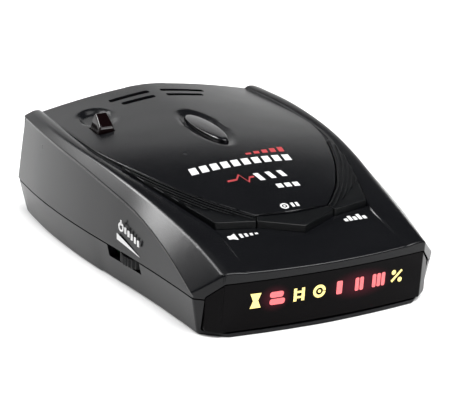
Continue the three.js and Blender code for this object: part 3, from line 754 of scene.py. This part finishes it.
def on_left_side(name, outlines):
    """Marks given in (y, z) on the left side panel."""
    rings = []
    for y in spread(-30, -6, 24):
        x = -side_x(y)
        rings.append([(x - PRINT, y, 9), (x + 0.1, y, 9), (x + 0.1, y, 20), (x - PRINT, y, 20)])
    return stamped(name, outlines, lambda u, v, w: (w, u, v), (-45, -20), loft("film", rings))


def on_window(name, outlines):
    """Signs given in (x, z) on the face of the display window."""
    film = cut(leaning("film", ends_outline(0.3 - PRINT), -2, 30),
               leaning("film_back", ends_outline(0.45), -3, 31))
    return stamped(name, outlines, lambda u, v, w: (u, w, v), (-60, -40), film)


def crown_white():
    """Row of slanted bars, three shorter ones below it and a row of small squares."""
    row = [bar(-15.9 + 2.8 * i, -15.3, 1.9, 3.1, 0.12) for i in range(10)]
    row += [bar(-1.6 + 3.1 * i, -23.4 + 0.3 * i, 1.3, 3.4 - 0.3 * i, -0.15) for i in range(3)]
    return row + [bar(1 + 2.2 * i, -27.5, 1.5, 1.7) for i in range(3)]


def crown_red():
    """Growing signal steps and a pulse line."""
    steps = [bar(1 + 2.3 * i, -10.4, 1.5, 0.9 + 0.45 * i, 0.2) for i in range(5)]
    line = [(-9.4, -21.3), (-7, -21.3), (-5.6, -19.4), (-4.6, -23.2), (-3.6, -21.3), (-2.4, -21.3)]
    pulse = [(x, y + 0.35) for x, y in line] + [(x, y - 0.35) for x, y in reversed(line)]
    return steps + [pulse]


def deck_white():
    """Hush sign in front of the left key and a small skyline in front of the right one."""
    hush = [[(-18.6, -40.9), (-17.6, -40.9), (-16.5, -41.5), (-16.5, -38.9), (-17.6, -39.6),
             (-18.6, -39.6)]]
    hush += [bar(-15.6 + 1.3 * i, -40.9 + 0.15 * i, 0.7, 1.5 - 0.3 * i) for i in range(4)]
    skyline = [bar(11.6 + 1.25 * i, -41, 0.9, height)
               for i, height in enumerate((1.1, 1.9, 1.4, 2.1, 1.2))]
    return hush + skyline


def key_white():
    """Target sign above the middle key."""
    return [ring_mark(-1.2, -34.6, 1.05, 0.4), circle(-1.2, -34.6, 0.3, 20),
            bar(0.6, -35.3, 0.7, 1.5), bar(1.8, -35.3, 0.7, 1.5)]


def side_white():
    """Power sign with a row of ticks, and the wedge that stands for less and more sound."""
    power = [ring_mark(-14.2, 15.5, 1.15, 0.45, 120, 420), bar(-14.42, 15.9, 0.44, 1.3)]
    ticks = [bar(-16.6 - 1.5 * i, 14.4 - 0.35 * i, 0.8, 1.5) for i in range(5)]
    wedge = [(-12.2, 13.4), (-12.2, 11.9), (-22.8, 10.6)]
    return power + ticks + [wedge]


SIGN_Z = 8.3
SIGN_X = (-18.1, -12.9, -7.5, -2.4, 2.8, 8.1, 13.4, 18.5)


def sign_bars(x, count, width=1.0, pitch=1.25, height=3.3):
    left = x - (pitch * (count - 1) + width) / 2
    return [rounded([(left + pitch * i, SIGN_Z - height / 2, 0.4),
                     (left + pitch * i + width, SIGN_Z - height / 2, 0.4),
                     (left + pitch * i + width, SIGN_Z + height / 2, 0.4),
                     (left + pitch * i, SIGN_Z + height / 2, 0.4)]) for i in range(count)]


def amber_signs():
    """Hourglass, ladder, target and slash with two spots."""
    glass, ladder, target, slash = SIGN_X[0], SIGN_X[2], SIGN_X[3], SIGN_X[7]
    signs = [[(glass + x, SIGN_Z + z) for x, z in ((-1.3, -1.8), (1.3, -1.8), (0.6, 0), (1.3, 1.8),
                                                  (-1.3, 1.8), (-0.6, 0))]]
    signs += [bar(ladder - 1.35, SIGN_Z - 1.6, 0.75, 3.2), bar(ladder + 0.6, SIGN_Z - 1.6, 0.75, 3.2)]
    signs += [bar(ladder - 0.55, SIGN_Z + z, 1.1, 0.5) for z in (-0.9, 0.4)]
    signs += [ring_mark(target, SIGN_Z, 1.6, 0.7), circle(target, SIGN_Z, 0.4, 20)]
    signs += [[(slash - 1.6, SIGN_Z - 1), (slash - 1.2, SIGN_Z - 1.5), (slash + 1.6, SIGN_Z + 1.1),
               (slash + 1.2, SIGN_Z + 1.5)]]
    return signs + [circle(slash - 0.9, SIGN_Z + 1, 0.6, 20), circle(slash + 1, SIGN_Z - 1.1, 0.6, 20)]


def red_signs():
    """Two wave crests, then one, two and three strength bars."""
    wave = SIGN_X[1]
    crests = [rounded([(wave + x0, SIGN_Z + z, 0.7), (wave + x1, SIGN_Z + z, 0.7),
                       (wave + x1 + 0.2, SIGN_Z + z + 1.45, 0.7), (wave + x0, SIGN_Z + z + 1.45, 0.7)])
              for x0, x1, z in ((-1.8, 1.4, 0.15), (-1.8, 1.8, -1.6))]
    return crests + sign_bars(SIGN_X[4], 1, 1.5) + sign_bars(SIGN_X[5], 2) + sign_bars(SIGN_X[6], 3)


# ---------------------------------------------------------------- materials


def new_material(name):
    material = bpy.data.materials.new(name)
    material.use_nodes = True
    tree = material.node_tree
    shader = tree.nodes["Principled BSDF"]
    return material, tree, shader


def add_grain(tree, shader, scale, strength, distance):
    """Fine moulded grain as bump, in millimetres."""
    place = tree.nodes.new("ShaderNodeTexCoord")
    grain = tree.nodes.new("ShaderNodeTexNoise")
    grain.inputs["Scale"].default_value = 1000 / scale
    grain.inputs["Detail"].default_value = 3
    grain.inputs["Roughness"].default_value = 0.6
    bump = tree.nodes.new("ShaderNodeBump")
    bump.inputs["Strength"].default_value = strength
    bump.inputs["Distance"].default_value = distance * MM
    tree.links.new(place.outputs["Object"], grain.inputs["Vector"])
    tree.links.new(grain.outputs["Fac"], bump.inputs["Height"])
    tree.links.new(bump.outputs["Normal"], shader.inputs["Normal"])
    return place


def add_mottle(tree, shader, place, colours, roughness, scale=9):
    """Slow change of colour and of roughness over the surface."""
    cloud = tree.nodes.new("ShaderNodeTexNoise")
    cloud.inputs["Scale"].default_value = 1000 / scale
    cloud.inputs["Detail"].default_value = 4
    tint = tree.nodes.new("ShaderNodeMix")
    tint.data_type = "RGBA"
    tint.inputs["A"].default_value = (*colours[0], 1)
    tint.inputs["B"].default_value = (*colours[1], 1)
    rough = tree.nodes.new("ShaderNodeMapRange")
    rough.inputs["To Min"].default_value = roughness[0]
    rough.inputs["To Max"].default_value = roughness[1]
    tree.links.new(place.outputs["Object"], cloud.inputs["Vector"])
    tree.links.new(cloud.outputs["Fac"], tint.inputs["Factor"])
    tree.links.new(cloud.outputs["Fac"], rough.inputs["Value"])
    tree.links.new(tint.outputs["Result"], shader.inputs["Base Color"])
    tree.links.new(rough.outputs["Result"], shader.inputs["Roughness"])


def plastic(name, base, roughness, grain=(0.18, 0.25, 0.02), specular=0.5, metallic=0.0):
    material, tree, shader = new_material(name)
    shader.inputs["Specular IOR Level"].default_value = specular
    shader.inputs["Metallic"].default_value = metallic
    place = add_grain(tree, shader, *grain)
    darker = tuple(c * 0.85 for c in base)
    lighter = tuple(c * 1.15 for c in base)
    add_mottle(tree, shader, place, (darker, lighter), roughness)
    return material


def glowing(name, base, light, strength):
    material, tree, shader = new_material(name)
    place = add_grain(tree, shader, 0.3, 0.05, 0.01)
    add_mottle(tree, shader, place, (base, base), (0.25, 0.35))
    shader.inputs["Emission Color"].default_value = (*light, 1)
    shader.inputs["Emission Strength"].default_value = strength
    return material


def smoked_window():
    """Gloss black with a painted red glow: the haze that the lit signs throw into the window round
    them, painted as emission that fades out round two groups of signs.
    """
    material = plastic("smoked_window", (0.0015, 0.0012, 0.0015), (0.06, 0.1), (0.6, 0.02, 0.005),
                       specular=0.05)
    tree = material.node_tree
    shader = tree.nodes["Principled BSDF"]
    place = tree.nodes.new("ShaderNodeTexCoord")
    painted_haze = tree.nodes.new("ShaderNodeMath")
    painted_haze.operation = "ADD"
    # painted glow: centres and reaches of the red haze painted round the two groups of signs
    spots = (((-13.5, 8.3), (4, 3.4)), ((8.5, 8.3), (9, 3.8)))      # centre and reach, in (x, z)
    for i, (centre, reach) in enumerate(spots):
        shift = tree.nodes.new("ShaderNodeMapping")
        shift.inputs["Location"].default_value = (-centre[0] / reach[0], 0, -centre[1] / reach[1])
        shift.inputs["Scale"].default_value = (1000 / reach[0], 0, 1000 / reach[1])
        length = tree.nodes.new("ShaderNodeVectorMath")
        length.operation = "LENGTH"
        fade = tree.nodes.new("ShaderNodeMapRange")
        fade.interpolation_type = "SMOOTHSTEP"
        fade.inputs["From Min"].default_value = 0.25
        fade.inputs["From Max"].default_value = 1.1
        fade.inputs["To Min"].default_value = 1
        fade.inputs["To Max"].default_value = 0
        tree.links.new(place.outputs["Object"], shift.inputs["Vector"])
        tree.links.new(shift.outputs["Vector"], length.inputs[0])
        tree.links.new(length.outputs["Value"], fade.inputs["Value"])
        tree.links.new(fade.outputs["Result"], painted_haze.inputs[i])
    # painted glow: dim red emission on the window, strongest round the lit signs and fading to nothing
    shader.inputs["Emission Color"].default_value = (0.05, 0.006, 0.012, 1)
    tree.links.new(painted_haze.outputs["Value"], shader.inputs["Emission Strength"])
    return material


MATERIALS = {
    "case_plastic": plastic("satin_black_case", (0.0028, 0.003, 0.0038), (0.23, 0.29),
                            specular=0.2),
    "lens_gloss": smoked_window(),
    "key_plastic": plastic("satin_black_keys", (0.0022, 0.0025, 0.003), (0.3, 0.38),
                           specular=0.16),
    "button_gloss": plastic("gloss_black", (0.004, 0.004, 0.005), (0.14, 0.2), (0.4, 0.05, 0.01),
                            specular=0.45),
    "laser_lens": plastic("dark_red_window", (0.003, 0.001, 0.0012), (0.05, 0.09), (0.6, 0.02, 0.005),
                          specular=0.15),
    "inner_black": plastic("moulded_black", (0.014, 0.014, 0.015), (0.45, 0.6)),
    "board_green": plastic("solder_mask", (0.015, 0.1, 0.04), (0.35, 0.5)),
    "screw_steel": plastic("zinc_plate", (0.55, 0.55, 0.56), (0.3, 0.42), metallic=1.0),
    "cast_alloy": plastic("zinc_casting", (0.48, 0.49, 0.5), (0.45, 0.6), (0.35, 0.5, 0.04),
                          metallic=1.0),
    "shield_tin": plastic("tinned_sheet", (0.62, 0.62, 0.6), (0.28, 0.4), metallic=1.0),
    "speaker_paper": plastic("coated_paper", (0.03, 0.028, 0.026), (0.7, 0.85), (0.25, 0.6, 0.05)),
    "led_red": plastic("tinted_red", (0.6, 0.03, 0.02), (0.2, 0.3), (0.5, 0.03, 0.01)),
    "led_amber": plastic("tinted_amber", (0.7, 0.35, 0.04), (0.2, 0.3), (0.5, 0.03, 0.01)),
    "glow_red": glowing("lit_red", (0.4, 0.05, 0.05), (0.9, 0.17, 0.19), 0.95),
    "glow_amber": glowing("lit_amber", (0.5, 0.4, 0.1), (0.98, 0.82, 0.3), 1.0),
    "print_white": plastic("white_print", (0.62, 0.62, 0.62), (0.45, 0.55), (0.2, 0.1, 0.01)),
    "print_red": plastic("red_print", (0.34, 0.03, 0.035), (0.45, 0.55), (0.2, 0.1, 0.01)),
}


def place_piece(obj, body, slot, *nodes, angle=32):
    """Finishes a piece: material, shading, the body it rides on, and the CAD nodes it stands for."""
    obj.data.materials.clear()
    obj.data.materials.append(MATERIALS[slot])
    smooth(obj, angle)
    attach(obj, body)
    if nodes:
        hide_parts(*nodes)
    return obj


place_piece(upper_case(), "case", "case_plastic", "upper_case")
place_piece(lower_case(), "case", "case_plastic", "lower_case")
place_piece(display_lens(), "case", "lens_gloss", "display_lens")
right = side_key("right_finger_key")
left = mirror_x(copy_of(right, "left_finger_key"))
place_piece(right, "right_key", "key_plastic", "right_key")
place_piece(left, "left_key", "key_plastic", "left_key")
place_piece(middle_key("middle_finger_key"), "middle_key", "key_plastic", "middle_key")
place_piece(release_button(), "release_button", "button_gloss", "release_button")
place_piece(rear_laser_lens(), "case", "laser_lens", "rear_laser_lens")
place_piece(volume_wheel(), "volume_wheel", "key_plastic", "volume_wheel")
place_piece(jack_nose(), "case", "inner_black", "power_jack")
place_piece(road_laser_lens(), "case", "laser_lens", "road_laser_lens")
place_piece(on_crown("crown_marks_white", crown_white()), "case", "print_white")
place_piece(on_crown("crown_marks_red", crown_red()), "case", "print_red")
place_piece(on_crown("key_mark", key_white()), "case", "print_white")
place_piece(on_deck("deck_marks", deck_white()), "case", "print_white")
place_piece(on_left_side("wheel_marks", side_white()), "case", "print_white")
place_piece(on_window("signs_amber", amber_signs()), "case", "glow_amber")
place_piece(on_window("signs_red", red_signs()), "case", "glow_red")
place_piece(base_label(), "case", "print_white")

SLOT_OF_NODE = {
    "light_mask": "inner_black", "display_board": "board_green", "main_board": "board_green",
    "left_switch": "inner_black", "middle_switch": "inner_black", "right_switch": "inner_black",
    "volume_pot": "inner_black",
    "release_spring": "screw_steel", "antenna_horn": "cast_alloy", "signal_shield": "shield_tin",
    "processor": "inner_black", "supply_capacitor": "inner_black",
    "road_laser_sensor": "inner_black", "speaker_frame": "shield_tin",
    "speaker_cone": "speaker_paper",
}
for i in range(1, 5):
    SLOT_OF_NODE[f"case_screw_{i}"] = "screw_steel"
for i, colour in enumerate(("amber", "red", "amber", "amber", "red", "red", "red", "amber"), 1):
    SLOT_OF_NODE[f"display_led_{i}"] = f"led_{colour}"
for node, slot in SLOT_OF_NODE.items():
    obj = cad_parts[node]
    obj.data.materials.clear()
    obj.data.materials.append(MATERIALS[slot])

# ---------------------------------------------------------------- floor, light, camera


def stage_floor():
    size, rise = 1.2, 0.9
    lines = [(-size, 0.0)] + [(size - rise + rise * math.sin(math.radians(a)),
                               rise - rise * math.cos(math.radians(a))) for a in spread(0, 80, 24)]
    rings = [[(-2, y, z), (2, y, z)] for y, z in lines]
    mesh = bpy.data.meshes.new("floor")
    verts = [p for ring in rings for p in ring]
    faces = [(2 * i, 2 * i + 1, 2 * i + 3, 2 * i + 2) for i in range(len(rings) - 1)]
    mesh.from_pydata(verts, [], faces)
    floor = bpy.data.objects.new("floor", mesh)
    bpy.context.scene.collection.objects.link(floor)
    material, tree, shader = new_material("pale_floor")
    place = tree.nodes.new("ShaderNodeTexCoord")
    add_mottle(tree, shader, place, ((0.9, 0.9, 0.9), (0.92, 0.92, 0.92)), (0.6, 0.7), 80)
    mesh.materials.append(material)
    mesh.polygons.foreach_set("use_smooth", [True] * len(mesh.polygons))


def area_light(name, place, aim, size, power):
    light = bpy.data.lights.new(name, "AREA")
    light.shape = "RECTANGLE"
    light.size, light.size_y = size
    light.energy = power
    obj = bpy.data.objects.new(name, light)
    bpy.context.scene.collection.objects.link(obj)
    obj.location = place
    obj.rotation_mode = "QUATERNION"
    obj.rotation_quaternion = (Vector(aim) - Vector(place)).to_track_quat("-Z", "Y")


def world_light(horizon, zenith):
    """Pale at the horizon and dim overhead, as in a studio with a dark ceiling."""
    world = bpy.data.worlds.new("studio")
    bpy.context.scene.world = world
    world.use_nodes = True
    tree = world.node_tree
    place = tree.nodes.new("ShaderNodeTexCoord")
    split = tree.nodes.new("ShaderNodeSeparateXYZ")
    fade = tree.nodes.new("ShaderNodeMapRange")
    fade.interpolation_type = "SMOOTHSTEP"
    fade.inputs["From Min"].default_value = 0.02
    fade.inputs["From Max"].default_value = 0.42
    fade.inputs["To Min"].default_value = horizon
    fade.inputs["To Max"].default_value = zenith
    back = tree.nodes["Background"]
    back.inputs["Color"].default_value = (1, 1, 1, 1)
    tree.links.new(place.outputs["Generated"], split.inputs["Vector"])
    tree.links.new(split.outputs["Z"], fade.inputs["Value"])
    tree.links.new(fade.outputs["Result"], back.inputs["Strength"])


def photo_camera():
    azimuth, elevation, roll = map(math.radians, (-26.414, 18.43, 0.516))
    camera = bpy.data.cameras.new("camera")
    camera.sensor_width = 36
    camera.lens = 129.6
    obj = bpy.data.objects.new("camera", camera)
    bpy.context.scene.collection.objects.link(obj)
    back = Vector((math.sin(azimuth) * math.cos(elevation),
                   -math.cos(azimuth) * math.cos(elevation), math.sin(elevation)))
    right = (-back).cross(Vector((0, 0, 1))).normalized()
    up = back.cross(right)
    across = right * math.cos(roll) + up * math.sin(roll)
    above = up * math.cos(roll) - right * math.sin(roll)
    turn = Matrix((across, above, back)).transposed().to_4x4()
    obj.matrix_world = Matrix.Translation((-0.172311, -0.347958, 0.142589)) @ turn
    camera.clip_start, camera.clip_end = 0.01, 20
    bpy.context.scene.camera = obj


stage_floor()
world_light(0.3, 0.05)
area_light("front_softbox", (0.2, -0.6, 1.1), (0, 0, 0.0), (1.1, 0.9), 21)
area_light("overhead_softbox", (0, 0.1, 1.3), (0, 0, 0), (0.7, 0.5), 5)
area_light("rear_left_softbox", (-0.40, 0.56, 0.50), (0, 0, 0.02), (0.34, 0.34), 2)
area_light("left_softbox", (-0.45, 0.45, 0.58), (0, -0.02, 0.02), (0.2, 0.2), 4)
area_light("front_right_softbox", (0.38, -0.40, 0.70), (0, -0.03, 0.02), (0.3, 0.3), 3)
photo_camera()
bpy.context.scene.view_settings.view_transform = "Standard"
